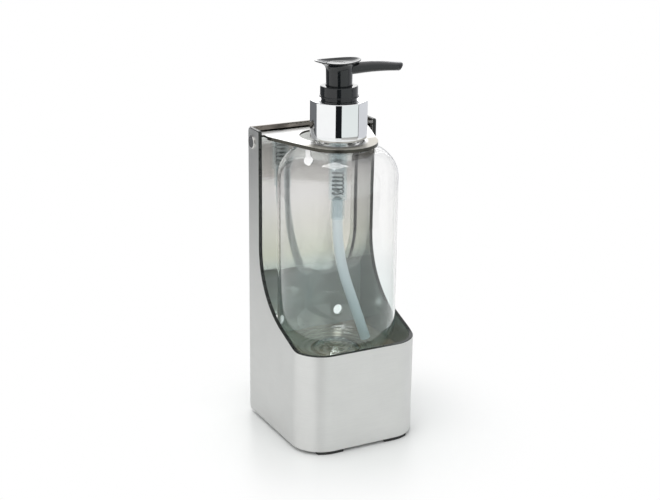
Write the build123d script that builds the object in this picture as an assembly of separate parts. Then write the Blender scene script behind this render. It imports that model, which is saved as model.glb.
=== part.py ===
"""Wall-mounted soap dispenser: a folded steel holder, a clear bottle and a lotion pump.

Millimetres. X is the holder's width, Y runs back towards the wall and Z is up. The origin lies on
the wall face, midway between the two lower screw holes, so the holder stands in front of it, in -Y.
"""

from build123d import *
from math import asin, atan2, cos, hypot, radians, sin, sqrt, tan
import os

# Holder, folded from one gauge of sheet.
HOLDER_WIDTH = 79.5
HOLDER_DEPTH = 79.0
HOLDER_HEIGHT = 183.0
SHEET = 1.2
CORNER_RADIUS = 19.0            # upright front corners
CUP_HEIGHT = 61.5               # front wall, above the holder's bottom edge
SIDE_DEPTH = 14.6               # side walls above the cup, from the wall face
SWOOP_ANGLE = 20.0              # slope of the side walls' edge behind the cup's front corners
SWOOP_START = 79.5              # height where that slope would meet the upright
SWOOP_TOP_RADIUS = 45.0         # sweep from the upright into the slope
SWOOP_CUP_RADIUS = 15.0
HEM_WIDTH = 5.0                 # edge folded back inside, against its own wall
FOLD_RADIUS = 0.5               # rounding of the hem's fold, on each side
TOP_CORNER_RADIUS = 2.5
LOW_CORNER_RADIUS = 3.0         # side walls, at the wall
SHELF_HEIGHT = 46.3             # underside of the shelf's plate, above the bottom edge
SHELF_SKIRT = 9.0

# Wall screws.
SCREW_HEIGHT = 57.0             # lower holes, above the bottom edge
SCREW_SPACING = 44.0
SCREW_HOLE_RADIUS = 3.3
KEYHOLE_RISE = 102.0            # keyhole's round end, above the lower holes
KEYHOLE_RADIUS = 3.5
KEYHOLE_SLOT_WIDTH = 4.2
KEYHOLE_SLOT_LENGTH = 7.5

# Rubber feet under the base's corners.
FOOT_WIDTH = 16.0
FOOT_DEPTH = 24.0
FOOT_THICKNESS = 1.8
FOOT_INSET = 0.5                # from the front and from the wall face
FOOT_SIDE_INSET = 9.5

# Bottle.
BOTTLE_FRONT_GAP = 0.8          # from the bottle's side to the hem of the front wall
BOTTLE_REAR_GAP = 3.0           # to the back plate, which the bottle's radius follows
BOTTLE_SIDE_GAP = 1.5           # to the hems of the side walls, at least
BOTTLE_WALL = 1.0
BOTTLE_SHOULDER_HEIGHT = 128.5  # from the base to the shoulder's crown
SHOULDER_RADIUS = 18.5
HEEL_RADIUS = 20.0
BASE_RING_WIDTH = 1.5           # flat ring that the bottle stands on
PUSH_UP_HEIGHT = 6.0
NECK_RADIUS = 12.6
NECK_WALL = 1.7
NECK_BEAD_RADIUS = 14.4
NECK_BEAD_THICKNESS = 1.6
BEAD_GAP = 0.3                  # bead above the lid's top face
THREAD_DEPTH = 1.0
THREAD_THICKNESS = 1.4
THREAD_DROP = 5.0               # thread's top below the neck's rim

# Lid: a hinged plate that lies round the bottle's neck.
LID_SHOULDER_GAP = 2.3
LID_LIP = 2.0                   # height of the turned-down front edge, sheet included
LID_FRONT_RADIUS = 23.3
LID_WING = 4.3                  # from the ears forwards to where the sides begin to taper
LID_EAR_STEP = 2.95             # ears beyond the plate's sides
LID_NECK_HOLE_RADIUS = 15.4
FINGER_HOLE_RADIUS = 16.8
FINGER_HOLE_FROM_WALL = 26.2
LID_SIDE_GAP = 1.6              # from the side wall to the lid's ear
HINGE_FROM_WALL = 6.0
HINGE_DROP = 4.6                # hinge axis below the lid's top face
EAR_RADIUS = 4.2
LID_REAR_REACH = 2.1            # lid's rear edge behind the hinge axis
RIVET_RADIUS = 1.6
RIVET_HEAD_RADIUS = 4.0
RIVET_HEAD_THICKNESS = 1.0
RIVET_TAIL_RADIUS = 2.5
RUNNING_CLEARANCE = 0.05

# Pump: closure.
COLLAR_RADIUS = 16.75
COLLAR_HEIGHT = 22.3
COLLAR_LID_GAP = 2.2            # from the lid's top face to the collar
COLLAR_SHEET = 0.8
CLOSURE_TOP = 1.6
CLOSURE_THREAD_CLEARANCE = 0.3
GASKET_THICKNESS = 1.2
FLANGE_THICKNESS = 1.5

# Pump: housing, valve and spring.
HOUSING_BORE = 4.5
HOUSING_WALL = 1.0
HOUSING_CUP_RADIUS = 9.7        # wide upper end, inside the neck
HOUSING_CUP_DEPTH = 13.0
HOUSING_TAPER = 5.0
HOUSING_LENGTH = 56.0           # from the flange's top to the chamber's floor
HOUSING_FLOOR = 1.6
VALVE_HOLE_RADIUS = 1.5
SOCKET_LENGTH = 12.0
SOCKET_WALL = 1.1
BALL_RADIUS = 2.1
BALL_LIFT = 1.5
SPRING_RADIUS = 3.4             # middle of the wire
SPRING_WIRE = 0.7
SPRING_TURNS = 6
SPRING_LENGTH = 16.0            # from the chamber's floor to the piston
STROKE = 5.5

# Pump: lock ring, plunger and head.
LOCK_RING_RADIUS = 11.0
LOCK_RING_HEIGHT = 8.2
LOCK_LIP_RADIUS = 11.8
LOCK_LIP_THICKNESS = 0.8
LOCK_LIP_RISE = 1.7             # lip's underside above the collar
LOCK_FOOT_RADIUS = 10.6         # below the lip
LOCK_SKIRT_DEPTH = 11.0
LOCK_FLOOR = 2.0
LOCK_EDGE = 0.6
SLIDING_GAP = 0.3
SLEEVE_RADIUS = 7.6
SLEEVE_WALL = 1.3
SLEEVE_OVERLAP = 5.0            # sleeve inside the lock ring at rest
STEM_RADIUS = 3.0
STEM_BORE = 1.5
PISTON_LENGTH = 6.0
PISTON_WAIST = 0.4
HEAD_SOCKET_WALL = 1.4
HEAD_SOCKET_DEPTH = 9.0
PAD_LENGTH = 29.0
PAD_WIDTH = 19.0
PAD_OFFSET = -1.2               # pad's middle, behind the axis, away from the nozzle
PAD_RISE = 8.3                  # pad's rim above the nozzle's underside
PAD_EDGE = 1.6
PAD_DISH = 1.3
FLARE_HEIGHT = 5.0              # from the sleeve out to the pad
NOZZLE_REACH = 41.5             # from the pump's axis
NOZZLE_ROOT_WIDTH = 11.0
NOZZLE_ROOT_HEIGHT = 6.8
NOZZLE_TIP_WIDTH = 7.0
NOZZLE_TIP_HEIGHT = 5.0
NOZZLE_DROOP = 1.0              # tip, below the nozzle's underside
NOZZLE_ARCH = 0.4               # middle, above it
NOZZLE_TIP_SLANT = 30.0         # degrees
NOZZLE_BORE = 1.3

# Dip tube.
TUBE_RADIUS = 3.1
TUBE_WALL = 0.8
TUBE_BEND_RADIUS = 130.0
TUBE_BEND = 20.0                # degrees
TUBE_FLOOR_GAP = 4.2

# Levels, upwards from the surface that the dispenser stands on.
bottom = -SCREW_HEIGHT
floor = bottom - FOOT_THICKNESS
top = bottom + HOLDER_HEIGHT
shelf_top = bottom + SHELF_HEIGHT + SHEET
crown = shelf_top + BOTTLE_SHOULDER_HEIGHT
lid_under = crown + LID_SHOULDER_GAP
lid_top = lid_under + SHEET
collar_bottom = lid_top + COLLAR_LID_GAP
collar_top = collar_bottom + COLLAR_HEIGHT
flange_top = collar_top - COLLAR_SHEET - CLOSURE_TOP
flange_under = flange_top - FLANGE_THICKNESS
rim = flange_under - GASKET_THICKNESS
chamber_floor = flange_top - HOUSING_LENGTH
lock_top = collar_top + LOCK_RING_HEIGHT
nozzle_under = lock_top + STROKE + SLIDING_GAP
pad_rim = nozzle_under + PAD_RISE
hinge_z = lid_top - HINGE_DROP
bead_low = lid_top + BEAD_GAP
thread_low = rim - THREAD_DROP
cup_floor = flange_top - HOUSING_CUP_DEPTH
cup_bore = HOUSING_CUP_RADIUS - HOUSING_WALL
tube_top = chamber_floor - HOUSING_FLOOR
piston_low = chamber_floor + SPRING_LENGTH
collar_hole = cup_bore + CLOSURE_THREAD_CLEARANCE
hinge_y = -HINGE_FROM_WALL
room_deep = HOLDER_DEPTH - 3 * SHEET - BOTTLE_FRONT_GAP - BOTTLE_REAR_GAP
room_wide = HOLDER_WIDTH - 4 * SHEET - 2 * BOTTLE_SIDE_GAP
bottle_radius = min(room_deep, room_wide) / 2
axis_y = -(HOLDER_DEPTH - 2 * SHEET - BOTTLE_FRONT_GAP - bottle_radius)


def on_axis(shape):
    return Pos(0, axis_y, 0) * shape


def tube(outer, inner, low, high):
    """A round wall about the pump's axis, drawn at X = Y = 0."""
    wall = Pos(0, 0, (low + high) / 2) * Cylinder(outer, high - low)
    if inner > 0:
        wall -= Pos(0, 0, (low + high) / 2) * Cylinder(inner, high - low)
    return wall


def footprint(inset):
    """The holder's plan, rounded at the front and square at the wall, pulled in by inset."""
    half = HOLDER_WIDTH / 2 - inset
    front = -HOLDER_DEPTH + inset
    corner = max(CORNER_RADIUS - inset, 1.0)
    plan = Pos(0, (front - inset) / 2) * Rectangle(2 * half, -front - inset)
    return fillet(plan.vertices().sort_by(Axis.Y)[:2], corner)


def prism(plan, low, high):
    return Pos(0, 0, low) * extrude(plan, high - low)


def side_profile(inset):
    """The holder seen from the side, with its front edge pulled in by inset, as a solid."""
    slope = radians(SWOOP_ANGLE)
    upright = -SIDE_DEPTH + inset
    cup_rim = bottom + CUP_HEIGHT - inset
    start = bottom + SWOOP_START - inset * (1 / cos(slope) - tan(slope))
    foot = upright - (start - cup_rim) / tan(slope)
    wide = 2 * HOLDER_DEPTH
    corners = [LOW_CORNER_RADIUS, TOP_CORNER_RADIUS, TOP_CORNER_RADIUS / 2]
    edge = FilletPolyline(
        (-wide, bottom),
        (0, bottom),
        (0, top - inset),
        (upright, top - inset),
        (upright, start),
        (foot, cup_rim),
        (-wide, cup_rim),
        radius=[*corners, SWOOP_TOP_RADIUS + inset, SWOOP_CUP_RADIUS + inset],
    )
    closing = Line((-wide, cup_rim), (-wide, bottom))
    face = make_face([*edge.edges(), *closing.edges()])
    return extrude(Plane.YZ * face, HOLDER_WIDTH, both=True)


def free_edges(shell):
    """The long edges of the shell's hemmed rim, on both sides of the fold."""
    rim_faces = [face for face in side_profile(0).faces() if abs(face.normal_at().X) < 0.5]
    found = []
    for edge in shell.edges():
        middle = edge @ 0.5
        if middle.Z < bottom + SHEET or middle.Y > -SHEET:
            continue
        spots = [Vertex(0, (edge @ part).Y, (edge @ part).Z) for part in (0.1, 0.5, 0.9)]
        if all(min(face.distance_to(spot) for face in rim_faces) < 0.01 for spot in spots):
            found.append(edge)
    return found


def holder_shell():
    """Left wall, front and right wall in one wrap, with the free edge hemmed inwards."""
    wall = prism(footprint(0) - footprint_open(SHEET), bottom, top) & side_profile(0)
    lining = prism(footprint_open(SHEET) - footprint_open(2 * SHEET), bottom, top)
    hem = (lining & side_profile(0)) - side_profile(HEM_WIDTH)
    hem -= Pos(0, -SHEET / 2, 0) * Box(HOLDER_WIDTH, SHEET, 4 * HOLDER_HEIGHT)
    shell = fillet(free_edges(wall + hem), FOLD_RADIUS)
    for side in (-1, 1):
        shell -= Pos(side * HOLDER_WIDTH / 2, hinge_y, hinge_z) * Rot(0, 90, 0) * Cylinder(
            RIVET_RADIUS, 4 * SHEET
        )
    return shell


def footprint_open(inset):
    """As footprint, but running out through the wall face."""
    half = HOLDER_WIDTH / 2 - inset
    plan = footprint(inset)
    return plan + Pos(0, -inset / 2) * Rectangle(2 * half, inset)


def back_plate():
    """Flat plate between the side walls, with two screw holes and a keyhole above."""
    width = HOLDER_WIDTH - 2 * SHEET
    plate = Pos(0, -SHEET / 2, (bottom + top) / 2) * Box(width, SHEET, top - bottom)
    across = Rot(90, 0, 0)
    for side in (-1, 1):
        plate -= Pos(side * SCREW_SPACING / 2, 0, 0) * across * Cylinder(SCREW_HOLE_RADIUS, 4 * SHEET)
    slot_end = KEYHOLE_RISE + KEYHOLE_SLOT_LENGTH
    plate -= Pos(0, 0, KEYHOLE_RISE) * across * Cylinder(KEYHOLE_RADIUS, 4 * SHEET)
    plate -= Pos(0, 0, slot_end) * across * Cylinder(KEYHOLE_SLOT_WIDTH / 2, 4 * SHEET)
    middle = (KEYHOLE_RISE + slot_end) / 2
    plate -= Pos(0, 0, middle) * Box(KEYHOLE_SLOT_WIDTH, 4 * SHEET, KEYHOLE_SLOT_LENGTH)
    return plate


def bottle_shelf():
    """Raised floor of the cup, a plate with a skirt folded down against the walls."""
    plate_low = shelf_top - SHEET
    plate = prism(footprint(SHEET), plate_low, shelf_top)
    skirt = prism(footprint(SHEET) - footprint(2 * SHEET), plate_low - SHELF_SKIRT, plate_low)
    return plate + skirt


def base_plate():
    return prism(footprint(SHEET), bottom, bottom + SHEET)


def rubber_feet():
    """Four pads, trimmed to the holder's outline."""
    x = (HOLDER_WIDTH - FOOT_WIDTH) / 2 - FOOT_SIDE_INSET
    front = -HOLDER_DEPTH + FOOT_INSET + FOOT_DEPTH / 2
    rear = -FOOT_INSET - FOOT_DEPTH / 2
    blank = Rectangle(FOOT_WIDTH, FOOT_DEPTH)
    outline = footprint(FOOT_INSET)
    pads = [Pos(side * x, y) * blank & outline for side in (-1, 1) for y in (front, rear)]
    return [prism(pad, floor, bottom) for pad in pads]


def turned(low, high, radius, crown_radius=0.0, heel_radius=0.0):
    """A solid of revolution about Z with rounded upper and lower corners."""
    body = tube(radius, 0, low, high)
    rims = body.edges().filter_by(GeomType.CIRCLE).sort_by(Axis.Z)
    body = fillet(rims[-1], crown_radius)
    rims = body.edges().filter_by(GeomType.CIRCLE).sort_by(Axis.Z)
    return fillet(rims[0], heel_radius)


def bottle():
    """Blown bottle with a push-up in its base, and a moulded neck with a bead and a thread."""
    outside = turned(shelf_top, crown, bottle_radius, SHOULDER_RADIUS, HEEL_RADIUS)
    inside = turned(
        shelf_top + BOTTLE_WALL,
        crown - BOTTLE_WALL,
        bottle_radius - BOTTLE_WALL,
        SHOULDER_RADIUS - BOTTLE_WALL,
        HEEL_RADIUS - BOTTLE_WALL,
    )
    ring = bottle_radius - HEEL_RADIUS - BASE_RING_WIDTH
    dome = (ring**2 + PUSH_UP_HEIGHT**2) / (2 * PUSH_UP_HEIGHT)
    dome_centre = Pos(0, 0, shelf_top + PUSH_UP_HEIGHT - dome)
    shell = outside - dome_centre * Sphere(dome)
    neck = tube(NECK_RADIUS, 0, crown - BOTTLE_WALL, rim)
    neck += tube(NECK_BEAD_RADIUS, 0, bead_low, bead_low + NECK_BEAD_THICKNESS)
    neck += tube(NECK_RADIUS + THREAD_DEPTH, 0, thread_low, thread_low + THREAD_THICKNESS)
    shell += neck
    shell -= inside - dome_centre * Sphere(dome + BOTTLE_WALL)
    shell -= tube(NECK_RADIUS - NECK_WALL, 0, crown - 2 * BOTTLE_WALL, rim)
    return on_axis(shell)


def lid_plate():
    """Hinged plate round the neck: a tapered tongue, two ears and a finger hole."""
    ear_face = HOLDER_WIDTH / 2 - SHEET - LID_SIDE_GAP
    rear = hinge_y + LID_REAR_REACH
    ear_front = hinge_y - EAR_RADIUS
    side_x = ear_face - LID_EAR_STEP
    wing_y = ear_front - LID_WING
    ahead = wing_y - axis_y
    taper = atan2(side_x, ahead) - asin(LID_FRONT_RADIUS / hypot(side_x, ahead))
    touch_x = LID_FRONT_RADIUS * cos(taper)
    touch_y = axis_y - LID_FRONT_RADIUS * sin(taper)
    half = [(side_x, ear_front), (side_x, wing_y), (touch_x, touch_y)]
    outline = Polyline(*half, *[(-x, y) for x, y in reversed(half)], close=True)
    tongue = make_face(outline) + Pos(0, axis_y) * Circle(LID_FRONT_RADIUS)
    plan = tongue + Pos(0, (rear + ear_front) / 2) * Rectangle(2 * ear_face, rear - ear_front)
    plan -= Pos(0, axis_y) * Circle(LID_NECK_HOLE_RADIUS)
    plan -= Pos(0, -FINGER_HOLE_FROM_WALL) * Circle(FINGER_HOLE_RADIUS)
    lid = prism(plan, lid_under, lid_top)
    front_edge = tongue - offset(tongue, -SHEET)
    front_edge -= Pos(0, wing_y / 2) * Rectangle(4 * ear_face, -wing_y)
    lid += prism(front_edge, lid_top - LID_LIP, lid_under)
    turn = Rot(0, 90, 0)
    low = hinge_z - EAR_RADIUS
    for side in (-1, 1):
        middle = side * (ear_face - SHEET / 2)
        web = Pos(middle, (rear + ear_front) / 2, (hinge_z + lid_under) / 2)
        lid += web * Box(SHEET, rear - ear_front, lid_under - hinge_z)
        lobe = Pos(middle, hinge_y, hinge_z) * turn * Cylinder(EAR_RADIUS, SHEET)
        lid += lobe & Pos(middle, hinge_y, (low + lid_top) / 2) * Box(
            SHEET, 4 * EAR_RADIUS, lid_top - low
        )
        lid -= Pos(middle, hinge_y, hinge_z) * turn * Cylinder(
            RIVET_RADIUS + RUNNING_CLEARANCE, 2 * SHEET
        )
    return lid


def hinge_rivets():
    """Two rivets, each with a domed head outside the wall and a formed tail inside the ear."""
    rivets = []
    wall_face = HOLDER_WIDTH / 2
    tail_low = wall_face - 2 * SHEET - LID_SIDE_GAP - 2 * RUNNING_CLEARANCE
    for side in (-1, 1):
        shank = Cylinder(RIVET_RADIUS, wall_face - tail_low, align=(Align.CENTER, Align.CENTER, Align.MIN))
        head = Pos(0, 0, wall_face - tail_low) * Cylinder(
            RIVET_HEAD_RADIUS, RIVET_HEAD_THICKNESS, align=(Align.CENTER, Align.CENTER, Align.MIN)
        )
        head = fillet(head.edges().sort_by(Axis.Z)[-1], 0.6 * RIVET_HEAD_THICKNESS)
        tail = Cylinder(
            RIVET_TAIL_RADIUS, RIVET_HEAD_THICKNESS, align=(Align.CENTER, Align.CENTER, Align.MAX)
        )
        rivet = shank + head + tail
        rivets.append(Pos(side * tail_low, hinge_y, hinge_z) * Rot(0, side * 90, 0) * rivet)
    return rivets


def hinge_washers():
    """Spacers on the rivets, between the side walls and the lid's ears."""
    thickness = LID_SIDE_GAP - RUNNING_CLEARANCE
    middle = HOLDER_WIDTH / 2 - SHEET - thickness / 2
    washer = Cylinder(RIVET_TAIL_RADIUS, thickness) - Cylinder(RIVET_RADIUS, thickness)
    return [Pos(side * middle, hinge_y, hinge_z) * Rot(0, 90, 0) * washer for side in (-1, 1)]


def collar_shell():
    """Chromed cap over the threaded closure."""
    shell = tube(COLLAR_RADIUS, 0, collar_bottom, collar_top)
    shell = fillet(shell.edges().filter_by(GeomType.CIRCLE).sort_by(Axis.Z)[-1], COLLAR_SHEET / 2)
    shell -= tube(COLLAR_RADIUS - COLLAR_SHEET, 0, collar_bottom, collar_top - COLLAR_SHEET)
    shell -= tube(collar_hole, 0, collar_top - 2 * COLLAR_SHEET, collar_top)
    return on_axis(shell)


def closure_insert():
    """Threaded plastic cap that clamps the pump's flange and gasket on the neck."""
    outer = COLLAR_RADIUS - COLLAR_SHEET
    bore = NECK_RADIUS + THREAD_DEPTH + CLOSURE_THREAD_CLEARANCE
    cap = tube(outer, bore, collar_bottom, flange_top)
    cap += tube(outer, collar_hole, flange_top, flange_top + CLOSURE_TOP)
    ridge_top = thread_low - CLOSURE_THREAD_CLEARANCE
    cap += tube(bore, NECK_RADIUS + CLOSURE_THREAD_CLEARANCE, ridge_top - THREAD_THICKNESS, ridge_top)
    return on_axis(cap)


def neck_gasket():
    return on_axis(tube(NECK_RADIUS, HOUSING_CUP_RADIUS, rim, flange_under))


def pump_housing():
    """Flange, wide cup for the lock ring, chamber with its valve seat, and the dip tube's socket."""
    chamber = HOUSING_BORE + HOUSING_WALL
    outer = tube(NECK_RADIUS, 0, flange_under, flange_top)
    outer += tube(HOUSING_CUP_RADIUS, 0, cup_floor, flange_top)
    outer += Pos(0, 0, cup_floor - HOUSING_TAPER / 2) * Cone(chamber, HOUSING_CUP_RADIUS, HOUSING_TAPER)
    outer += tube(chamber, 0, tube_top, cup_floor - HOUSING_TAPER)
    outer += tube(TUBE_RADIUS + SOCKET_WALL, 0, tube_top - SOCKET_LENGTH, tube_top)
    inner = tube(cup_bore, 0, cup_floor, flange_top)
    inner += Pos(0, 0, cup_floor - HOUSING_TAPER / 2) * Cone(HOUSING_BORE, cup_bore, HOUSING_TAPER)
    inner += tube(HOUSING_BORE, 0, chamber_floor, cup_floor - HOUSING_TAPER)
    inner += tube(VALVE_HOLE_RADIUS, 0, tube_top, chamber_floor)
    inner += tube(TUBE_RADIUS, 0, tube_top - SOCKET_LENGTH, tube_top)
    return on_axis(outer - inner)


def check_ball():
    seat = sqrt(BALL_RADIUS**2 - VALVE_HOLE_RADIUS**2)
    return on_axis(Pos(0, 0, chamber_floor + seat + RUNNING_CLEARANCE) * Sphere(BALL_RADIUS))


def return_spring():
    """Coil between the chamber's floor and the piston."""
    low = chamber_floor + SPRING_WIRE / 2 + RUNNING_CLEARANCE
    height = SPRING_LENGTH - SPRING_WIRE - 2 * RUNNING_CLEARANCE
    path = Pos(0, 0, low) * Helix(height / SPRING_TURNS, height, SPRING_RADIUS)
    wire = Plane(origin=path @ 0, z_dir=path % 0) * Circle(SPRING_WIRE / 2)
    return on_axis(sweep(wire, path=path, is_frenet=True))


def piston():
    """Sliding seal: a sleeve round the stem with a thin lip at each end."""
    outer = HOUSING_BORE - RUNNING_CLEARANCE
    lip = PISTON_LENGTH / 4
    body = tube(outer, 0, piston_low, piston_low + PISTON_LENGTH)
    waist = tube(outer, outer - PISTON_WAIST, piston_low + lip, piston_low + PISTON_LENGTH - lip)
    body -= waist
    body -= tube(STEM_RADIUS + RUNNING_CLEARANCE, 0, piston_low + lip, piston_low + PISTON_LENGTH)
    body -= tube(STEM_BORE, 0, piston_low, piston_low + lip)
    return on_axis(body)


def plunger_stem():
    low = piston_low + PISTON_LENGTH / 4 + RUNNING_CLEARANCE
    return on_axis(tube(STEM_RADIUS, STEM_BORE, low, nozzle_under))


def lock_ring():
    """Ring seated on the collar; its skirt fills the housing's cup and guides the stem."""
    skirt_low = collar_top - LOCK_SKIRT_DEPTH
    bore = SLEEVE_RADIUS + SLIDING_GAP
    ring = tube(LOCK_RING_RADIUS, 0, collar_top, lock_top)
    ring = fillet(ring.edges().filter_by(GeomType.CIRCLE).sort_by(Axis.Z)[-1], LOCK_EDGE)
    ring -= tube(2 * LOCK_RING_RADIUS, LOCK_FOOT_RADIUS, collar_top, collar_top + LOCK_LIP_RISE)
    lip_low = collar_top + LOCK_LIP_RISE
    ring += tube(LOCK_LIP_RADIUS, 0, lip_low, lip_low + LOCK_LIP_THICKNESS)
    ring += tube(cup_bore, 0, skirt_low, collar_top)
    ring -= tube(bore, 0, skirt_low + LOCK_FLOOR, lock_top)
    ring -= tube(STEM_RADIUS + RUNNING_CLEARANCE, 0, skirt_low, skirt_low + LOCK_FLOOR)
    return on_axis(ring)


def nozzle_section(x, under, width, height):
    """A rounded section across the nozzle, standing on its underside."""
    plane = Plane(origin=(x, 0, under + height / 2), x_dir=(0, 1, 0), z_dir=(1, 0, 0))
    return plane * RectangleRounded(width, height, 0.42 * height)


def pump_head():
    """Press pad, spout and sleeve in one moulding, pressed on the stem and bored for the soap."""
    sleeve_low = lock_top - SLEEVE_OVERLAP
    flare_low = pad_rim - PAD_EDGE - FLARE_HEIGHT
    pad_plan = Pos(PAD_OFFSET, 0) * Ellipse(PAD_LENGTH / 2, PAD_WIDTH / 2)
    head = tube(SLEEVE_RADIUS, 0, sleeve_low, flare_low)
    head += loft([Pos(0, 0, flare_low) * Circle(SLEEVE_RADIUS), Pos(0, 0, pad_rim - PAD_EDGE) * pad_plan])
    head += prism(pad_plan, pad_rim - PAD_EDGE, pad_rim)
    head += loft(
        [
            nozzle_section(0, nozzle_under, NOZZLE_ROOT_WIDTH, NOZZLE_ROOT_HEIGHT),
            nozzle_section(
                NOZZLE_REACH / 2,
                nozzle_under + NOZZLE_ARCH,
                (NOZZLE_ROOT_WIDTH + NOZZLE_TIP_WIDTH) / 2,
                (2 * NOZZLE_ROOT_HEIGHT + NOZZLE_TIP_HEIGHT) / 3,
            ),
            nozzle_section(NOZZLE_REACH, nozzle_under - NOZZLE_DROOP, NOZZLE_TIP_WIDTH, NOZZLE_TIP_HEIGHT),
        ]
    )
    slant = Pos(NOZZLE_REACH, 0, nozzle_under - NOZZLE_DROOP + NOZZLE_TIP_HEIGHT) * Rot(
        0, NOZZLE_TIP_SLANT, 0
    )
    block = 4 * NOZZLE_TIP_HEIGHT
    head -= slant * Pos(block / 2, 0, 0) * Box(block, block, 2 * block)
    dish_reach = PAD_WIDTH / 2 - PAD_EDGE
    ball = (dish_reach**2 + PAD_DISH**2) / (2 * PAD_DISH)
    stretch = (PAD_LENGTH / 2 - PAD_EDGE) / dish_reach
    head -= Pos(PAD_OFFSET, 0, pad_rim - PAD_DISH + ball) * scale(Sphere(ball), by=(stretch, 1, 1))
    socket = STEM_RADIUS + HEAD_SOCKET_WALL
    head -= tube(SLEEVE_RADIUS - SLEEVE_WALL, socket, sleeve_low, nozzle_under - SLEEVE_WALL)
    head -= tube(socket, 0, sleeve_low, nozzle_under - HEAD_SOCKET_DEPTH)
    head -= tube(STEM_RADIUS, 0, sleeve_low, nozzle_under)
    bore_z = nozzle_under + NOZZLE_TIP_HEIGHT / 2 - NOZZLE_DROOP
    head -= tube(NOZZLE_BORE, 0, nozzle_under, bore_z)
    head -= Pos(NOZZLE_REACH / 2, 0, bore_z) * Rot(0, 90, 0) * Cylinder(NOZZLE_BORE, NOZZLE_REACH)
    return on_axis(head)


def dip_tube():
    """Soft tube from the housing's socket, curving out to the heel of the bottle."""
    bend = radians(TUBE_BEND)
    start = tube_top - SOCKET_LENGTH
    half = bend / 2
    radius = TUBE_BEND_RADIUS

    def point(angle):
        return (radius * (1 - cos(angle)), 0, start - radius * sin(angle))

    run = (start - radius * sin(bend) - shelf_top - TUBE_FLOOR_GAP) / cos(bend)
    end_x, _, end_z = point(bend)
    path = Line((0, 0, tube_top), (0, 0, start))
    path += ThreePointArc(point(0), point(half), point(bend))
    path += Line(point(bend), (end_x + run * sin(bend), 0, end_z - run * cos(bend)))
    section = Pos(0, 0, tube_top) * (Circle(TUBE_RADIUS) - Circle(TUBE_RADIUS - TUBE_WALL))
    return on_axis(sweep(section, path=path))


NODES = {
    "holder_shell": holder_shell,
    "back_plate": back_plate,
    "bottle_shelf": bottle_shelf,
    "base_plate": base_plate,
    "rubber_feet": rubber_feet,
    "bottle": bottle,
    "lid_plate": lid_plate,
    "hinge_rivets": hinge_rivets,
    "hinge_washers": hinge_washers,
    "collar_shell": collar_shell,
    "closure_insert": closure_insert,
    "neck_gasket": neck_gasket,
    "pump_housing": pump_housing,
    "check_ball": check_ball,
    "return_spring": return_spring,
    "piston": piston,
    "plunger_stem": plunger_stem,
    "lock_ring": lock_ring,
    "pump_head": pump_head,
    "dip_tube": dip_tube,
}

os.makedirs("parts", exist_ok=True)
for name, build in NODES.items():
    made = build()
    solids = made if isinstance(made, list) else [made]
    solids = [solid for piece in solids for solid in piece.solids()]
    export_step(solids[0] if len(solids) == 1 else Compound(children=solids), f"parts/{name}.step")
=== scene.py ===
from math import cos, pi, radians, sin, sqrt, tan

import bmesh
import bpy
from mathutils import Matrix, Vector


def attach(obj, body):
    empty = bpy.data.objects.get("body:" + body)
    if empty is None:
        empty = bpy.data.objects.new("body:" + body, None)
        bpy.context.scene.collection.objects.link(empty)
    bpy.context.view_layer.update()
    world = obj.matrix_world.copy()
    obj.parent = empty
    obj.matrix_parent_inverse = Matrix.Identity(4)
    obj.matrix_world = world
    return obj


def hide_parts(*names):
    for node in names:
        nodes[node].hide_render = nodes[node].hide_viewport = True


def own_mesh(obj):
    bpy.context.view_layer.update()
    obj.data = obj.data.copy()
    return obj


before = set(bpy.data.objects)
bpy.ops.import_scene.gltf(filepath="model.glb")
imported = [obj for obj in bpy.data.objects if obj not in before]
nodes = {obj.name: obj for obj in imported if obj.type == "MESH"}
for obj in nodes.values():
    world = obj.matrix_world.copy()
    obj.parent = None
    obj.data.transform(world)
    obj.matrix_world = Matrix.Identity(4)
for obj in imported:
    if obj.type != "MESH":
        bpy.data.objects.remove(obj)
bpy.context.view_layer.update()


# Holder shell: one wrap of 1.2 mm stainless sheet, bent round two upright corners and hemmed along
# its free edge. The outside is dull-ground along the wrap; the inside keeps the mill's bright face,
# its colour painted darker and greener towards the bottom as painted shade, and the sheet's edges
# are painted near-black as painted shade.
class Wire:
    """An output socket that arithmetic and mixing can be done on."""

    def __init__(self, socket):
        self.socket = socket
        self.tree = socket.id_data

    def _join(self, kind, operation, first, second):
        node = self.tree.nodes.new(kind)
        node.operation = operation
        for place, value in zip(node.inputs, (first, second)):
            plug(self.tree, place, value)
        return Wire(node.outputs[0])

    def _apply(self, operation, other, swap=False):
        vector = self.socket.type == "VECTOR"
        kind = "ShaderNodeVectorMath" if vector else "ShaderNodeMath"
        if vector and not isinstance(other, Wire) and not hasattr(other, "__len__"):
            other = (other, other, other)
        first, second = (other, self) if swap else (self, other)
        return self._join(kind, operation, first, second)

    def __add__(self, other):
        return self._apply("ADD", other)

    def __radd__(self, other):
        return self._apply("ADD", other, True)

    def __sub__(self, other):
        return self._apply("SUBTRACT", other)

    def __rsub__(self, other):
        return self._apply("SUBTRACT", other, True)

    def __mul__(self, other):
        return self._apply("MULTIPLY", other)

    def __rmul__(self, other):
        return self._apply("MULTIPLY", other, True)

    def __truediv__(self, other):
        return self._apply("DIVIDE", other)

    def __rtruediv__(self, other):
        return self._apply("DIVIDE", other, True)

    def __pow__(self, other):
        return self._apply("POWER", other)

    def fit(self, low, high, out_low=0.0, out_high=1.0, smooth=False):
        """This value's place between low and high, moved to between out_low and out_high."""
        node = self.tree.nodes.new("ShaderNodeMapRange")
        node.interpolation_type = "SMOOTHSTEP" if smooth else "LINEAR"
        for place, value in zip(node.inputs, (self, low, high, out_low, out_high)):
            plug(self.tree, place, value)
        return Wire(node.outputs[0])

    def mix(self, first, second):
        """The colour between first, where this is 0, and second, where it is 1."""
        node = self.tree.nodes.new("ShaderNodeMix")
        node.data_type = "RGBA"
        for place, value in ((0, self), (6, first), (7, second)):
            plug(self.tree, node.inputs[place], value)
        return Wire(node.outputs[2])


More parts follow.
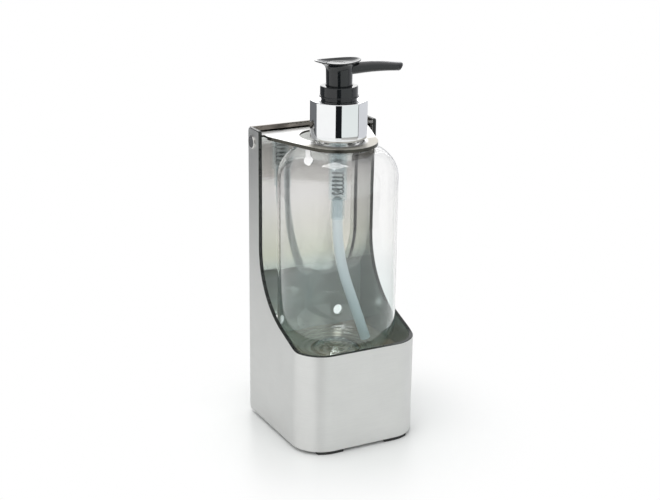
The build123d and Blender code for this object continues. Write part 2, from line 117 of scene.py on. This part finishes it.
def plug(tree, place, value):
    """Links a wire to an input, or sets the input's own value."""
    if isinstance(value, Wire):
        tree.links.new(value.socket, place)
    elif place.type == "RGBA" and len(value) == 3:
        place.default_value = (*value, 1.0)
    else:
        place.default_value = value


class Finish:
    """A material that is built up node by node."""

    def __init__(self, name):
        self.material = bpy.data.materials.new(name)
        self.material.use_nodes = True
        self.tree = self.material.node_tree
        self.tree.nodes.clear()

    def node(self, kind, settings=(), values=(), output=0):
        made = self.tree.nodes.new(kind)
        for key, value in dict(settings).items():
            setattr(made, key, value)
        for key, value in dict(values).items():
            plug(self.tree, made.inputs[key], value)
        return Wire(made.outputs[output]) if made.outputs else None

    def place(self):
        """Position in the row frame, in millimetres."""
        return self.node("ShaderNodeTexCoord", output="Object") * 1000.0

    def axes(self, vector):
        made = self.tree.nodes.new("ShaderNodeSeparateXYZ")
        plug(self.tree, made.inputs[0], vector)
        return [Wire(socket) for socket in made.outputs]

    def noise(self, vector, scale, detail=2.0, roughness=0.5):
        return self.node(
            "ShaderNodeTexNoise",
            values={"Vector": vector, "Scale": scale, "Detail": detail, "Roughness": roughness},
        )

    def bump(self, height, strength, distance=0.0001):
        return self.node(
            "ShaderNodeBump", values={"Height": height, "Strength": strength, "Distance": distance}
        )

    def shader(self, **values):
        """A Principled shader; underscores in the names stand for spaces."""
        named = {key.replace("_", " "): value for key, value in values.items()}
        return self.node("ShaderNodeBsdfPrincipled", values=named)

    def done(self, shader):
        self.node("ShaderNodeOutputMaterial", values={"Surface": shader})
        return self.material


def dress(obj, *materials):
    """Gives a piece its materials in place of any that it has."""
    obj.data.materials.clear()
    for material in materials:
        obj.data.materials.append(material)


def steel(name, colour, rough, grain, streak, fleck=0.04, blotch=0.05, brushed=0.0):
    """Stainless sheet: grain is how much finer the streaks are on each axis, per millimetre."""
    made = Finish(name)
    place = made.place()
    fine = made.noise(place * grain, 1.0, 3.0, 0.6)
    cloud = made.noise(place * 0.06, 1.0, 3.0, 0.55)
    tone = (fine - 0.5) * fleck + (cloud - 0.5) * blotch + 1.0
    tint = made.node("ShaderNodeVectorMath", {"operation": "SCALE"}, {0: colour, "Scale": tone})
    shade = made.shader(
        Base_Color=tint,
        Metallic=1.0,
        Roughness=fine.fit(0.25, 0.75, rough - streak, rough + streak),
        Anisotropic=brushed,
        Anisotropic_Rotation=0.25,
        Normal=made.bump(fine, 0.25, 0.00002),
    )
    return made.done(shade)


ground = steel(
    "ground_steel", (0.7, 0.702, 0.69), 0.42, (0.12, 0.12, 2.2), 0.05,
    fleck=0.12, blotch=0.1, brushed=0.45,
)
inside = Finish("mill_steel_painted_shade")
place = inside.place()
level = inside.axes(place)[2]
grain = inside.noise(place * (0.1, 0.1, 1.4), 1.0, 3.0, 0.6)
# Painted shade: the inside's colour darkens and turns greener towards the bottom of the cup.
painted_shade_steel, high_steel = (0.42, 0.47, 0.455), (0.7, 0.7, 0.685)
shade = inside.shader(
    Base_Color=level.fit(0.0, 55.0, smooth=True).mix(painted_shade_steel, high_steel),
    Metallic=level.fit(5.0, 45.0, 0.75, 1.0),
    Roughness=grain.fit(0.25, 0.75, 0.14, 0.22),
    Normal=inside.bump(grain, 0.25, 0.00002),
)
bright = inside.done(shade)
# Painted shade: the sheet's edge and rim faces are coloured near-black.
painted_shade_edge = steel("edge_steel_painted_shade", (0.05, 0.052, 0.05), 0.3, (0.5, 0.5, 0.5), 0.06)
shell = nodes["holder_shell"]
dress(shell, ground, bright, painted_shade_edge)
half_width, depth, bend = 39.75, 79.0, 19.0
straight, lower_rim, rear_edge = 0.93, -50, -3
for face in shell.data.polygons:
    x, y, z = face.center * 1000
    core_x = max(min(x, half_width - bend), bend - half_width)
    core_y = max(min(y, 0.0), bend - depth)
    outward = Vector((x - core_x, y - core_y)).normalized()
    facing = face.normal.x * outward.x + face.normal.y * outward.y
    if facing < -straight:
        face.material_index = 1
    elif facing < straight and z > lower_rim and y < rear_edge:
        face.material_index = 2


# Back plate: flat 1.2 mm stainless sheet welded between the side walls, its bright face to the
# front, so it mirrors the bottle and the table. It is duller low down, where its colour is painted
# darker and greener as painted shade; it is painted warmer between 45 and 80 mm; and a dark strip
# above the lid is a painted reflection.
mirror = Finish("mirror_sheet")
place = mirror.place()
level = mirror.axes(place)[2]
haze = mirror.noise(place * (0.05, 0.05, 0.5), 1.0, 3.0, 0.55)
# Painted light: a dark reflection strip above the lid, and darker, greener shade low down.
dull_shaded_low, dull_shaded_high, painted_reflection_strip = 28.0, 42.0, (0.2, 0.18, 0.16)
warm = level.fit(45.0, 80.0).mix((0.68, 0.655, 0.565), (0.7, 0.69, 0.675))
tone = level.fit(dull_shaded_low, dull_shaded_high).mix((0.6, 0.655, 0.635), warm)
shade = mirror.shader(
    Base_Color=level.fit(121.2, 122.4).mix(tone, painted_reflection_strip),
    Metallic=level.fit(dull_shaded_low, dull_shaded_high, 0.55, 1.0),
    Roughness=haze.fit(0.3, 0.7, 0.03, 0.07),
    Normal=mirror.bump(haze, 0.15, 0.00005),
)
plate = nodes["back_plate"]
plate_rear = steel("plate_rear", (0.66, 0.66, 0.65), 0.22, (0.1, 0.1, 0.8), 0.04)
dress(plate, mirror.done(shade), plate_rear)
for face in plate.data.polygons:
    face.material_index = 1 if face.normal.y > 0.5 else 0


# Shelf and base: two pressed plates spot-welded inside the wrap, the base dull like the outside.
# The shelf is mottled brown, and painted rings of light run round the bottle's axis, strongest
# under its base, standing in for the pattern seen through the bottle's ringed base.
bottle_y = -40.0
shelf_with_painted_rings = Finish("shelf_steel")
x, y, _ = shelf_with_painted_rings.axes(shelf_with_painted_rings.place())
from_axis = (x * x + (y - bottle_y) * (y - bottle_y)) ** 0.5
# Painted light: rings round the bottle's axis, faded out beyond the bottle's base.
painted_light_rings = shelf_with_painted_rings.node("ShaderNodeMath", {"operation": "SINE"}, {0: from_axis * 1.25})
painted_light_rings = painted_light_rings * from_axis.fit(15.0, 25.0, 0.8, 0.12)
mottle = shelf_with_painted_rings.noise(shelf_with_painted_rings.place(), 0.4, 3.0, 0.6) * 1.2
shade = shelf_with_painted_rings.shader(
    Base_Color=(painted_light_rings + mottle).fit(-0.6, 1.8).mix((0.24, 0.2, 0.14), (0.62, 0.58, 0.48)),
    Metallic=0.6,
    Roughness=0.2,
)
dress(nodes["bottle_shelf"], shelf_with_painted_rings.done(shade))
dress(nodes["base_plate"], ground)


# Feet: four corner pads of black rubber, die-cut and glued under the base.
rubber = Finish("foot_rubber")
place = rubber.place()
pores = rubber.noise(place, 2.2, 3.0, 0.6)
shade = rubber.shader(
    Base_Color=pores.mix((0.012, 0.012, 0.012), (0.03, 0.03, 0.03)),
    Roughness=pores.fit(0.3, 0.7, 0.65, 0.85),
    Normal=rubber.bump(pores, 0.3, 0.0002),
)
dress(nodes["rubber_feet"], rubber.done(shade))


# Lid: one stainless pressing that lies round the bottle's neck and swings on two ears. Its face is
# fine satin, painted near-white as painted light from above, with a painted tan reflection in a
# strip in front of the neck, and its edges are painted dark as painted reflection.
lid = Finish("satin_steel_painted_light")
place = lid.place()
x, y, _ = lid.axes(place)
swirl = lid.noise(place * (0.3, 0.3, 0.3), 1.0, 3.0, 0.5)
from_neck = (x * x + (y - bottle_y) * (y - bottle_y)) ** 0.5
# Painted reflection: a tan strip on the lid just in front of the neck.
tan_reflection_painted = from_neck.fit(16.5, 18.0) * y.fit(-40.0, -44.0)
# Painted light: the lid's face is near-white, lighter than the other steel, as if lit from above.
satin_painted_light = swirl.mix((0.93, 0.93, 0.92), (0.97, 0.97, 0.965))
shade = lid.shader(
    Base_Color=tan_reflection_painted.mix(satin_painted_light, (0.5, 0.48, 0.43)),
    Metallic=1.0,
    Roughness=swirl.fit(0.3, 0.7, 0.42, 0.48),
)
pressing = nodes["lid_plate"]
# Painted reflection: the lid's edge faces are coloured near-black.
lid_edge_painted_dark = steel("lid_edge_painted_dark", (0.08, 0.078, 0.066), 0.25, (0.4, 0.4, 0.4), 0.05)
dress(pressing, lid.done(shade), lid_edge_painted_dark)
for face in pressing.data.polygons:
    face.material_index = 1 if abs(face.normal.z) < 0.5 else 0


# Hinge and valve ball: two semi-tubular steel rivets with domed heads, a plain washer on each
# between the wall and the lid's ear, and the pump's inlet ball of the same bright steel.
rivet = Finish("rivet_steel")
place = rivet.place()
scuff = rivet.noise(place, 1.5, 3.0, 0.6)
shade = rivet.shader(
    Base_Color=scuff.mix((0.6, 0.59, 0.57), (0.74, 0.73, 0.71)),
    Metallic=1.0,
    Roughness=scuff.fit(0.3, 0.7, 0.08, 0.2),
)
rivet_steel = rivet.done(shade)
dress(nodes["hinge_rivets"], rivet_steel)
dress(nodes["hinge_washers"], rivet_steel)
dress(nodes["check_ball"], rivet_steel)


# Bottle: stretch-blown clear PET, a round body with soft shoulders and heel and a pushed-up base,
# and a moulded neck with a support bead and thread. Its walls are about a millimetre thick.
AXIS = Vector((0.0, bottle_y / 1000, 0.0))


def rounded(corners, steps=8):
    """The points of a profile whose corners (radius, height, fillet) are rounded."""
    points = []
    count = len(corners)
    for index, (r, z, fillet) in enumerate(corners):
        here = Vector((r, z))
        if fillet <= 0:
            points.append(here)
            continue
        before = Vector(corners[index - 1][:2]) - here
        after = Vector(corners[(index + 1) % count][:2]) - here
        half = before.angle(after) / 2
        reach = fillet / tan(half)
        start, end = here + before.normalized() * reach, here + after.normalized() * reach
        centre = here + (before.normalized() + after.normalized()).normalized() * fillet / sin(half)
        first, last = start - centre, end - centre
        for step in range(steps + 1):
            part = step / steps
            points.append(centre + first.slerp(last, part, first).normalized() * fillet)
    return points


def lathe(name, points, segments=128, sharp=35, axis=AXIS):
    """A closed profile in millimetres, turned about an upright axis."""
    mesh = bmesh.new()
    rings = []
    for point in points:
        if point[0] < 1e-6:
            rings.append([mesh.verts.new((0, 0, point[1] / 1000))])
            continue
        rings.append([
            mesh.verts.new((
                point[0] / 1000 * cos(2 * pi * turn / segments),
                point[0] / 1000 * sin(2 * pi * turn / segments),
                point[1] / 1000,
            ))
            for turn in range(segments)
        ])
    for index, ring in enumerate(rings):
        following = rings[(index + 1) % len(rings)]
        if len(ring) == 1 and len(following) == 1:
            continue
        for turn in range(segments):
            after = (turn + 1) % segments
            if len(ring) == 1:
                mesh.faces.new((ring[0], following[after], following[turn]))
            elif len(following) == 1:
                mesh.faces.new((ring[turn], ring[after], following[0]))
            else:
                mesh.faces.new((ring[turn], ring[after], following[after], following[turn]))
    bmesh.ops.recalc_face_normals(mesh, faces=mesh.faces)
    return finished(name, mesh, sharp, axis)


def finished(name, mesh, sharp=35, axis=AXIS):
    """A shaded object from a bmesh, with edges steeper than sharp degrees left crisp."""
    for edge in mesh.edges:
        if len(edge.link_faces) == 2 and edge.calc_face_angle(0) > radians(sharp):
            edge.smooth = False
    for face in mesh.faces:
        face.smooth = True
    data = bpy.data.meshes.new(name)
    mesh.to_mesh(data)
    mesh.free()
    obj = bpy.data.objects.new(name, data)
    obj.location = axis
    bpy.context.collection.objects.link(obj)
    return obj


def see_through(made, solid, tint):
    """Lets light pass a clear piece without bending it, so that it casts only a faint shadow."""
    path = made.tree.nodes.new("ShaderNodeLightPath")
    shadow = Wire(path.outputs["Is Shadow Ray"])
    diffuse = Wire(path.outputs["Is Diffuse Ray"])
    unbent = made.node("ShaderNodeMath", {"operation": "MAXIMUM"}, {0: shadow, 1: diffuse})
    through = made.node("ShaderNodeBsdfTransparent", values={"Color": tint})
    return made.node("ShaderNodeMixShader", values={0: unbent, 1: solid, 2: through})


floor_z, crown, rim, wall = -9.5, 119.0, 141.9, 1.0
radius, shoulder, heel = 35.8, 18.5, 20.0
neck, bore, bead, bead_low, bead_high = 12.6, 10.9, 14.4, 122.8, 124.4
push_up, push_up_rise, push_up_steps = 14.3, 6.0, 12
dome = (push_up**2 + push_up_rise**2) / (2 * push_up_rise)
dome_z = floor_z + push_up_rise - dome
profile = [Vector((0.0, floor_z + push_up_rise))]
for step in range(1, push_up_steps + 1):
    part = push_up * step / push_up_steps
    profile.append(Vector((part, dome_z + sqrt(dome**2 - part**2))))
profile += rounded(
    [
        (radius - heel, floor_z, 0), (radius, floor_z, heel), (radius, crown, shoulder),
        (neck, crown, 0.8), (neck, bead_low, 0.3), (bead, bead_low, 0.4), (bead, bead_high, 0.4),
        (neck, bead_high, 0.3), (neck, rim, 0.5), (bore, rim, 0.3), (bore, crown - wall, 1.2),
        (radius - wall, crown - wall, shoulder - wall),
        (radius - wall, floor_z + wall, heel - wall), (radius - heel, floor_z + wall, 0),
    ],
    16,
)
inner = dome + wall
for step in range(push_up_steps, -1, -1):
    part = push_up * step / push_up_steps
    profile.append(Vector((part, dome_z + sqrt(inner**2 - part**2))))
bottle = lathe("bottle_body", profile, 192, 50)
pet = Finish("clear_pet")
place = pet.place()
x, y, level = pet.axes(place)
ridges = pet.node("ShaderNodeMath", {"operation": "SINE"}, {0: (x * x + y * y) ** 0.5 * 2.4})
ridges = ridges * level.fit(-3.0, -5.0) * 0.25
ripple = pet.noise(place * (0.04, 0.04, 0.02), 1.0, 1.0, 0.4) + ridges
shade = pet.shader(
    Base_Color=level.fit(10.0, 60.0).mix((0.91, 0.967, 0.957), (0.996, 0.996, 0.995)),
    Roughness=0.0,
    IOR=1.5,
    Transmission_Weight=1.0,
    Normal=pet.bump(ripple, 0.2, 0.0008),
)
dress(bottle, pet.done(see_through(pet, shade, (0.965, 0.97, 0.97))))
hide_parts("bottle")
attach(bottle, "holder")


# Collar: a deep-drawn aluminium cap, bright chrome-like, crimped over the plastic closure.
cap_radius, cap_low, cap_top, cap_skin, cap_hole = 16.75, 124.7, 147.0, 0.8, 9.1
cap_profile = [
    (16.6, cap_low, 0.3), (cap_radius, 128.2, 20), (cap_radius, 130.8, 0), (cap_radius, 144.5, 0),
    (cap_radius, cap_top, 0.7), (cap_hole, cap_top, 0.2), (cap_hole, cap_top - cap_skin, 0.2),
    (cap_radius - cap_skin, cap_top - cap_skin, 0.4), (cap_radius - cap_skin, cap_low, 0.2),
]
collar = lathe("collar_cap", rounded(cap_profile, 6), 192, 60)
chrome = Finish("bright_chrome")
place = chrome.place()
film = chrome.noise(place * 0.08, 1.0, 2.0, 0.5)
shade = chrome.shader(
    Base_Color=film.mix((0.88, 0.89, 0.9), (0.94, 0.95, 0.955)),
    Metallic=1.0,
    Roughness=film.fit(0.3, 0.7, 0.02, 0.05),
)
dress(collar, chrome.done(shade))
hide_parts("collar_shell")
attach(collar, "holder")


# Closure and gasket: the black threaded cap inside the collar and the white seal on the neck's rim.
black = Finish("black_polypropylene")
place = black.place()
skin = black.noise(place, 0.9, 3.0, 0.55)
shade = black.shader(
    Base_Color=skin.mix((0.005, 0.0062, 0.0072), (0.009, 0.0108, 0.0125)),
    Roughness=skin.fit(0.3, 0.7, 0.08, 0.15),
    Coat_Weight=0.25,
    Coat_Roughness=0.04,
    IOR=1.5,
    Normal=black.bump(skin, 0.06, 0.0003),
)
black_plastic = black.done(shade)
seal = Finish("white_seal")
shade = seal.shader(
    Base_Color=seal.noise(seal.place(), 0.8).mix((0.78, 0.79, 0.79), (0.86, 0.87, 0.87)),
    Roughness=0.45,
)
white_seal = seal.done(shade)
dress(nodes["closure_insert"], black_plastic)
dress(nodes["neck_gasket"], white_seal)


# Pump body: natural polypropylene, so the steel spring and the ball show faintly through it, with
# the soft polyethylene dip tube pushed into its lower end.
def faint(made, solid, cover, tint):
    """Each face hides only the share cover of what lies behind it."""
    through = made.node("ShaderNodeBsdfTransparent", values={"Color": tint})
    return made.node("ShaderNodeMixShader", values={0: cover, 1: through, 2: solid})


def natural(name, cover):
    """Cloudy plastic without pigment, its colour painted darker and bluer towards the bottom as
    painted shade.
    """
    made = Finish(name)
    place = made.place()
    cloud = made.noise(place * (0.2, 0.2, 0.1), 1.0, 2.0, 0.5)
    # Painted shade: below 80 mm the colour darkens and turns bluer.
    level = made.axes(place)[2].fit(5.0, 80.0)
    solid = made.shader(
        Base_Color=level.mix((0.56, 0.72, 0.745), (0.86, 0.92, 0.935)),
        Roughness=cloud.fit(0.3, 0.7, 0.35, 0.45),
    )
    return made.done(faint(made, solid, cover, (0.95, 0.975, 0.98)))


moulded = natural("natural_polypropylene", 0.1)
dress(nodes["pump_housing"], moulded)
dress(nodes["plunger_stem"], moulded)
dress(nodes["dip_tube"], natural("natural_polyethylene", 0.6))
dress(nodes["piston"], natural("piston_polyethylene", 0.2))
wire = Finish("spring_wire")
shade = wire.shader(
    Base_Color=wire.noise(wire.place(), 1.2).mix((0.1, 0.1, 0.1), (0.16, 0.16, 0.16)),
    Metallic=1.0,
    Roughness=0.25,
)
spring = nodes["return_spring"]
dress(spring, wire.done(shade))
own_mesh(spring)


# Lock ring: black moulding seated on the collar; the head screws down into it for transport.
lock_bore, lock_top, lock_foot = 7.9, 155.2, 138.0
lock_profile = [
    (11.0, 149.5, 0.2), (11.0, lock_top, 0.6), (lock_bore, lock_top, 0.4),
    (lock_bore, lock_foot, 0), (8.7, lock_foot, 0), (8.7, cap_top, 0), (10.6, cap_top, 0.3),
    (10.6, 148.7, 0.2), (11.8, 148.7, 0.3), (11.8, 149.5, 0.3),
]
lock = lathe("lock_ring_cap", rounded(lock_profile, 5), 160, 50)
dress(lock, black_plastic)
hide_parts("lock_ring")
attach(lock, "holder")


# Head: glossy black pump actuator in one moulding, a sleeve that flares into a saddle-shaped thumb
# pad, and a beak-like spout with a ridge along its top and a slanted end.
def loft(name, sets, sharp=40):
    """Closed skins through rings of points in millimetres, one skin for each list of rings."""
    mesh = bmesh.new()
    for rings in sets:
        loops = [[mesh.verts.new(Vector(point) / 1000) for point in ring] for ring in rings]
        for low, high in zip(loops, loops[1:]):
            for index in range(len(low)):
                after = (index + 1) % len(low)
                mesh.faces.new((low[index], low[after], high[after], high[index]))
        mesh.faces.new(loops[0][::-1])
        mesh.faces.new(loops[-1])
    bmesh.ops.recalc_face_normals(mesh, faces=mesh.faces)
    return finished(name, mesh, sharp)


def pad_ring(spread, height, shrink=1.0, count=96):
    """A ring between the sleeve's circle, at spread 0, and the pad's lifted oval, at spread 1."""
    ring = []
    round_radius, half_length, half_breadth, set_back = 7.6, 14.4, 9.4, 1.1
    for index in range(count):
        turn = 2 * pi * index / count
        lift = 1.3 if cos(turn) < 0 else 0.8
        long_side = half_length * cos(turn) - set_back
        x = (1 - spread) * round_radius * cos(turn) + spread * long_side
        y = (1 - spread) * round_radius * sin(turn) + spread * half_breadth * sin(turn)
        ring.append((x * shrink, y * shrink, height + lift * spread * cos(turn) ** 2))
    return ring


def beak_ring(reach, under, height, width, slant=0.0, shrink=1.0, count=48):
    """A section of the spout, flat-sided with a slight ridge on top."""
    ring = []
    for index in range(count):
        turn = 2 * pi * index / count
        side, rise = cos(turn), sin(turn)
        y = width / 2 * abs(side) ** 0.7 * (1 if side > 0 else -1)
        z = height / 2 * abs(rise) ** 0.62 * (1 if rise > 0 else -1)
        if rise > 0:
            z += 0.35 * (1 - abs(side))
            y *= 1.0 - 0.12 * rise
        z *= shrink
        ring.append((reach + slant * (z + height / 2), y * shrink, under + height / 2 + z))
    return ring


sleeve = [
    (0, 150.4, 0.97), (0, 150.7, 1.0), (0, 156.0, 1.0), (0.02, 162.0, 1.0), (0.03, 164.8, 1.0),
]
flare = [(0.1, 166.2), (0.22, 167.1), (0.42, 167.9), (0.68, 168.4), (0.9, 168.6), (0.98, 168.75)]
brim = [(1.0, 169.0), (1.0, 169.15), (0.97, 169.35), (0.91, 169.4), (0.84, 169.3), (0.7, 169.0)]
dish = [(0.5, 168.65), (0.25, 168.35), (0.0, 168.15)]
rings = [pad_ring(spread, height, shrink) for spread, height, shrink in sleeve]
rings += [pad_ring(spread, height) for spread, height in flare + brim + dish]
rings += [pad_ring(0.0, 168.05, 0.6), pad_ring(0.0, 168.0, 0.2)]
stations = [
    (1.0, 161.3, 6.4, 10.5), (5.0, 161.3, 6.4, 10.5), (9.0, 161.35, 6.35, 10.0),
    (14.0, 161.5, 6.1, 9.3), (20.0, 161.6, 5.8, 8.6), (26.0, 161.5, 5.4, 8.0),
    (31.0, 161.3, 5.0, 7.6), (35.5, 161.0, 4.6, 7.2),
]
beak = [beak_ring(*station) for station in stations]
tip, tip_slant = (160.75, 4.3, 6.9), 0.62
for reach, shrink in ((38.2, 1.0), (38.6, 0.93), (38.5, 0.55), (36.5, 0.5)):
    beak.append(beak_ring(reach, *tip, tip_slant, shrink))
head = loft("head_body", [rings, beak])
dress(head, black_plastic)
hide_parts("pump_head")
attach(head, "head")


# Stage: a white laminate table that glows white to the camera a little way out from the part, and
# a light tent of plain panels round it, which only reflections and the clear bottle show.
table = bmesh.new()
bmesh.ops.create_circle(table, cap_ends=True, segments=128, radius=0.56)
table = finished("table", table, axis=Vector((0.0, -0.04, -0.0588)))
laminate = Finish("white_laminate")
cast = laminate.noise(laminate.place() * 0.01, 1.0)
shade = laminate.shader(
    Base_Color=cast.mix((0.7, 0.71, 0.705), (0.72, 0.73, 0.725)),
    Roughness=0.3,
    Specular_IOR_Level=0.3,
)
x, y, _ = laminate.axes(laminate.place())
far = (x * x + y * y) ** 0.5
path = laminate.tree.nodes.new("ShaderNodeLightPath")
seen = Wire(path.outputs["Is Camera Ray"]) + Wire(path.outputs["Is Transmission Ray"])
glow = laminate.node("ShaderNodeEmission", values={"Color": (1.0, 1.0, 1.0), "Strength": 1.0})
spread = far.fit(55.0, 130.0, smooth=True) * seen
both = laminate.node("ShaderNodeMixShader", values={0: spread, 1: shade, 2: glow})
dress(table, laminate.done(both))


def panel(
    name, start, end, colour, low=-0.0588, high=0.6, upper=None, through=True, glow=1.0, away=0.56
):
    """An upright panel of the tent, from azimuth start to end, seen only in glossy reflections."""
    mesh = bmesh.new()
    count = max(2, int(abs(end - start) / 3))
    rings = []
    for step in range(count + 1):
        turn = radians(start + (end - start) * step / count)
        x, y = -away * sin(turn), -away * cos(turn)
        rings.append((mesh.verts.new((x, y, low)), mesh.verts.new((x, y, high))))
    for left, right in zip(rings, rings[1:]):
        mesh.faces.new((left[0], right[0], right[1], left[1]))
    obj = finished(name, mesh, axis=Vector((0.0, -0.04, 0.0)))
    made = Finish(name)
    level = made.axes(made.place())[2]
    tint = level.fit(low * 1000, high * 1000).mix(colour, upper or colour)
    dress(obj, made.done(made.node("ShaderNodeEmission", values={"Color": tint, "Strength": glow})))
    obj.visible_camera = False
    obj.visible_diffuse = False
    obj.visible_shadow = False
    obj.visible_transmission = through
    return obj


panel("tent_slot", 16, 40, (0.01, 0.011, 0.013))
panel("tent_left", 40, 126, (1.0, 1.0, 1.0))
panel("tent_rear_left", 126, 180, (0.16, 0.165, 0.175), high=1.4, through=False)
panel("tent_rear", 180, 214, (0.05, 0.05, 0.055), high=0.06, through=False)
panel("tent_rear_light", 184, 232, (1.0, 1.0, 1.0), 0.13, 0.5, through=False, glow=2.2)
panel("tent_right", -146, -58, (0.68, 0.69, 0.72), through=False)
panel("tent_seam", -58, -55, (0.1, 0.1, 0.1))
panel("tent_front", -55, 16, (0.82, 0.86, 0.85), -0.0158, away=0.49)
panel(
    "tent_front_base", -55, 16, (0.6, 0.59, 0.57), high=-0.0158, upper=(0.3, 0.3, 0.29), away=0.49
)

world = bpy.data.worlds.new("tent")
bpy.context.scene.world = world
world.use_nodes = True
sky = world.node_tree
sky.nodes.clear()
path = sky.nodes.new("ShaderNodeLightPath")
seen = Wire(path.outputs["Is Camera Ray"]) + Wire(path.outputs["Is Transmission Ray"])
coordinates = sky.nodes.new("ShaderNodeTexCoord")
split = sky.nodes.new("ShaderNodeSeparateXYZ")
plug(sky, split.inputs[0], Wire(coordinates.outputs["Generated"]))
height = Wire(split.outputs["Z"])
soft = height.fit(-0.03, 0.03).mix((0.38, 0.385, 0.39), (1.0, 1.0, 1.0))
paper = seen.fit(0.0, 1.0).mix(soft, (1.0, 1.0, 1.0))
shade = sky.nodes.new("ShaderNodeBackground")
plug(sky, shade.inputs["Color"], paper)
output = sky.nodes.new("ShaderNodeOutputWorld")
sky.links.new(shade.outputs[0], output.inputs["Surface"])


def softbox(name, place, target, size, power):
    light = bpy.data.lights.new(name, "AREA")
    light.shape = "RECTANGLE"
    light.size, light.size_y = size
    light.energy = power
    obj = bpy.data.objects.new(name, light)
    obj.location = place
    obj.rotation_euler = (Vector(target) - Vector(place)).to_track_quat("-Z", "Y").to_euler()
    obj.visible_camera = False
    bpy.context.collection.objects.link(obj)
    return obj


softbox("overhead", (-0.08, -0.06, 0.9), (0, -0.04, 0), (0.35, 0.35), 3.2).visible_glossy = False
softbox("left_window", (-0.8, -0.3, 0.45), (0, -0.04, 0.05), (0.6, 0.8), 0.8).visible_glossy = False


# Camera: a long lens a little above the object and to its left, level but for a slight roll.
azimuth, elevation, roll = radians(27.96), radians(18.83), radians(0.72)
distance, pixels, centre_x, centre_y = 0.8624, 1435.4, 333.6, 258.7
target = Vector((-0.00221, -0.04, 0.04956))
back = Vector((-sin(azimuth) * cos(elevation), -cos(azimuth) * cos(elevation), sin(elevation)))
right = Vector((cos(azimuth), -sin(azimuth), 0.0))
up = back.cross(right)
right, up = cos(roll) * right + sin(roll) * up, cos(roll) * up - sin(roll) * right
lens = bpy.data.cameras.new("camera")
lens.sensor_width = 36.0
frame_width, frame_height = 660, 500
lens.lens = pixels / frame_width * lens.sensor_width
lens.shift_x = (frame_width / 2 - centre_x) / frame_width
lens.shift_y = (centre_y - frame_height / 2) / frame_width
camera = bpy.data.objects.new("camera", lens)
turned_to = Matrix((right, up, back)).transposed().to_4x4()
camera.matrix_world = Matrix.Translation(target + back * distance) @ turned_to
bpy.context.collection.objects.link(camera)
bpy.context.scene.camera = camera
bpy.context.scene.view_settings.view_transform = "Standard"
